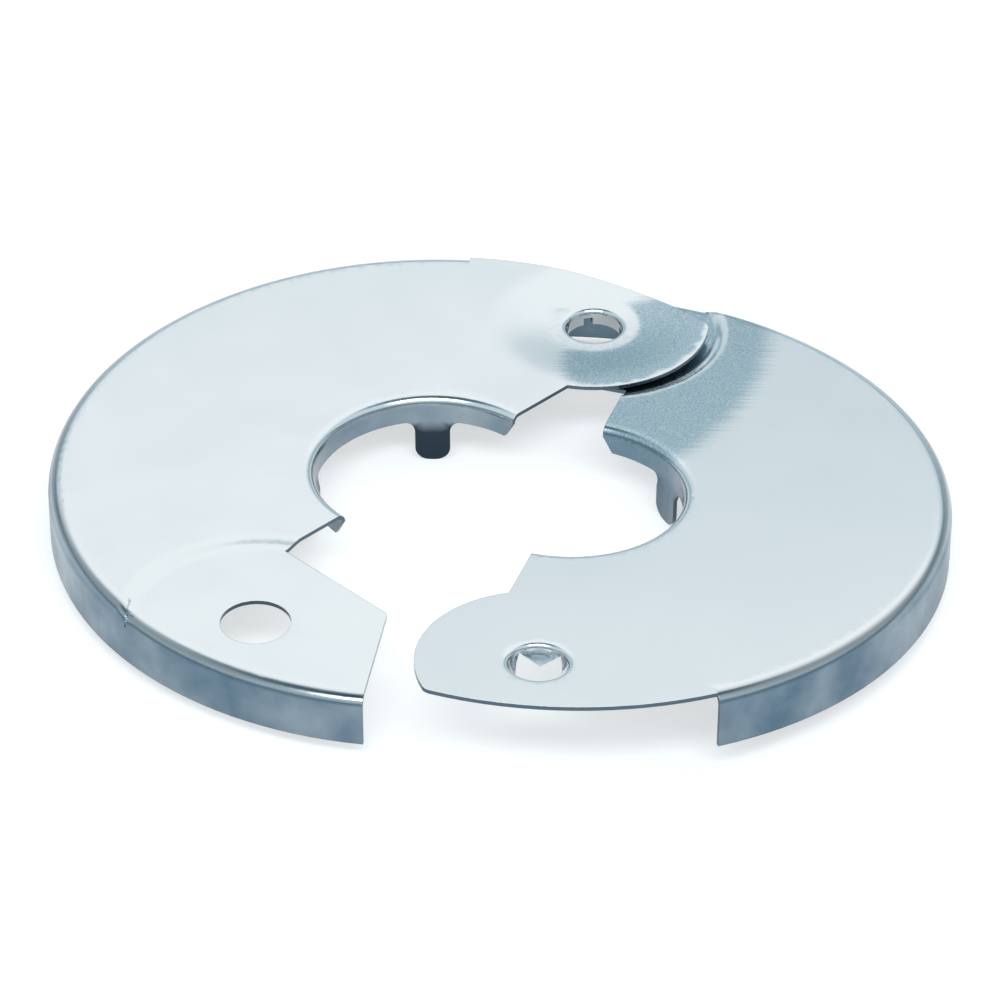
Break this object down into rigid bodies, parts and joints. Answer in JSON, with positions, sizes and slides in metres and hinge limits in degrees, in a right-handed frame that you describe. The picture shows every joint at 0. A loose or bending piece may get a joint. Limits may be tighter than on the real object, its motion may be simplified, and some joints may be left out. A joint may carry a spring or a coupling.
{
  "type": "split hinged pipe rosette",
  "caption": "Split hinged pipe rosette of plated sheet steel; its halves swing on an eyelet and snap shut round a pipe, covering the hole in a wall, floor or ceiling.",
  "frame": {"origin": "on the left half's pipe axis, in the plane of its skirt's lower edge, which lies on the wall", "axes": "+Z out of the wall along the pipe, +X along the split line towards the hinge, +Y into the left half"},
  "size_m": [0.0789, 0.0855, 0.0093],
  "materials": {
    "chrome_plated_steel": "bright chrome plate on stamped steel sheet, lightly scuffed"
  },
  "bodies": {
    "left": {"left_half": "chrome_plated_steel"},
    "right": {"right_half": "chrome_plated_steel"}
  },
  "joints": [
    {"name": "eyelet_hinge", "type": "hinge", "parent": "left", "child": "right", "pos_m": [0.02837, 0.00603, 0.00424], "axis": [0.0456, 0.0139, 0.9989], "range_deg": [-27.5, 90]}
  ]
}
